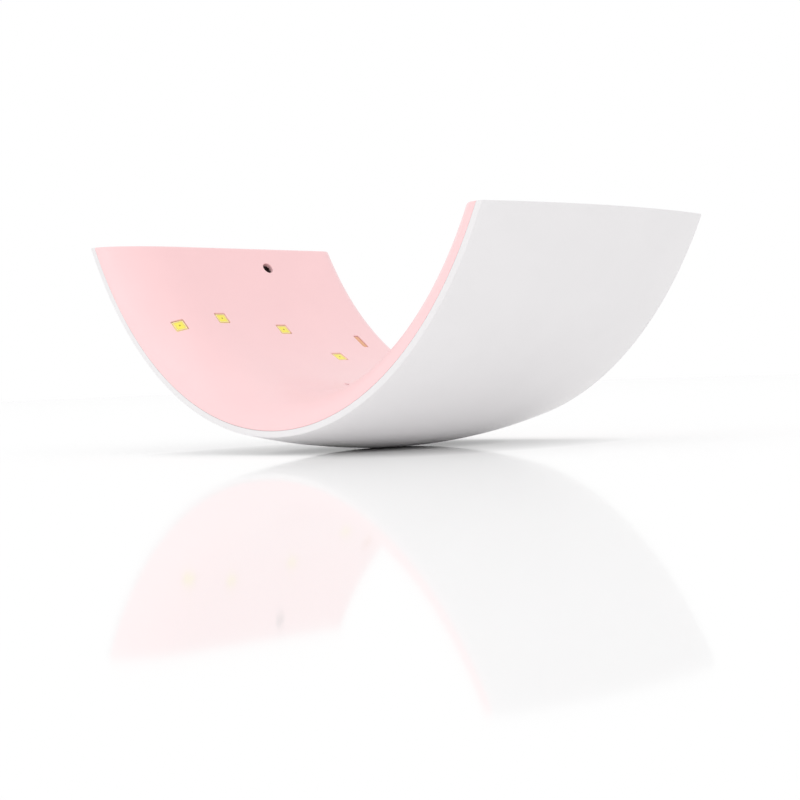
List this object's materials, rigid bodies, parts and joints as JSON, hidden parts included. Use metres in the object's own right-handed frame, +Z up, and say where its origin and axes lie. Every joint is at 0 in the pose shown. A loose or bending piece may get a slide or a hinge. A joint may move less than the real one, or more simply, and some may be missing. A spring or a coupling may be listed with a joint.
{
  "type": "uv led nail lamp",
  "caption": "Small arch-shaped UV nail lamp lying on its crown: white barrel-shaped shell, pink liner with LEDs in square windows, timer button on top and a USB power socket.",
  "frame": {"origin": "lowest point of the crown as the lamp lies on it, under the middle of the arch", "axes": "+X from the left foot to the right foot, +Y from the front opening to the rear opening, +Z up from the crown to the feet. In use the lamp is turned over about Y, so that it stands on its feet."},
  "size_m": [0.134, 0.0706, 0.0487],
  "materials": {
    "shell_white": "satin white moulding",
    "liner_pink": "satin pale pink moulding",
    "button_white": "satin white moulding",
    "led_yellow": "yellow phosphor resin",
    "lens_brown": "dark brown infrared-clear resin",
    "board_white": "white solder mask",
    "board_green": "green solder mask",
    "screw_steel": "zinc-plated steel",
    "socket_steel": "tin-plated steel",
    "component_black": "black moulded resin",
    "capacitor_can": "plain aluminium can",
    "clear_resin": "clear resin",
    "lead_red": "red insulation",
    "lead_black": "black insulation"
  },
  "bodies": {
    "case": {"outer_shell": "shell_white", "liner": "liner_pink", "led_board_left": "board_white", "uv_led_left_1": "led_yellow", "uv_led_left_2": "led_yellow", "uv_led_left_3": "led_yellow", "uv_led_left_4": "led_yellow", "sensor_lens_left": "lens_brown", "case_screw_left": "screw_steel", "led_driver_left": "component_black", "sense_resistor_left": "component_black", "supply_lead_left": "lead_red", "return_lead_left": "lead_black", "led_board_right": "board_white", "uv_led_right_1": "led_yellow", "uv_led_right_2": "led_yellow", "uv_led_right_3": "led_yellow", "uv_led_right_4": "led_yellow", "sensor_lens_right": "lens_brown", "case_screw_right": "screw_steel", "led_driver_right": "component_black", "sense_resistor_right": "component_black", "supply_lead_right": "lead_red", "return_lead_right": "lead_black", "sensor_emitter": "component_black", "sensor_receiver": "component_black", "control_board": "board_green", "board_screw_1": "screw_steel", "board_screw_2": "screw_steel", "board_screw_3": "screw_steel", "board_screw_4": "screw_steel", "switch_body": "component_black", "usb_socket": "socket_steel", "usb_tongue": "component_black", "timer_chip": "component_black", "filter_capacitor": "capacitor_can", "indicator_led": "clear_resin", "light_pipe": "clear_resin"},
    "button": {"timer_button": "button_white"},
    "plunger": {"switch_plunger": "component_black"}
  },
  "joints": [
    {"name": "timer_button_press", "type": "slide", "parent": "case", "child": "button", "axis": [0, 0, 1], "range_m": [0, 0.0003], "stiffness_N_per_m": 500, "springref_m": -0.0005},
    {"name": "switch_plunger_press", "type": "slide", "parent": "case", "child": "plunger", "axis": [0, 0, 1], "range_m": [0, 0.0003]}
  ],
  "couplings": [
    {"joint": "switch_plunger_press", "follows": "timer_button_press", "ratio": 1}
  ]
}
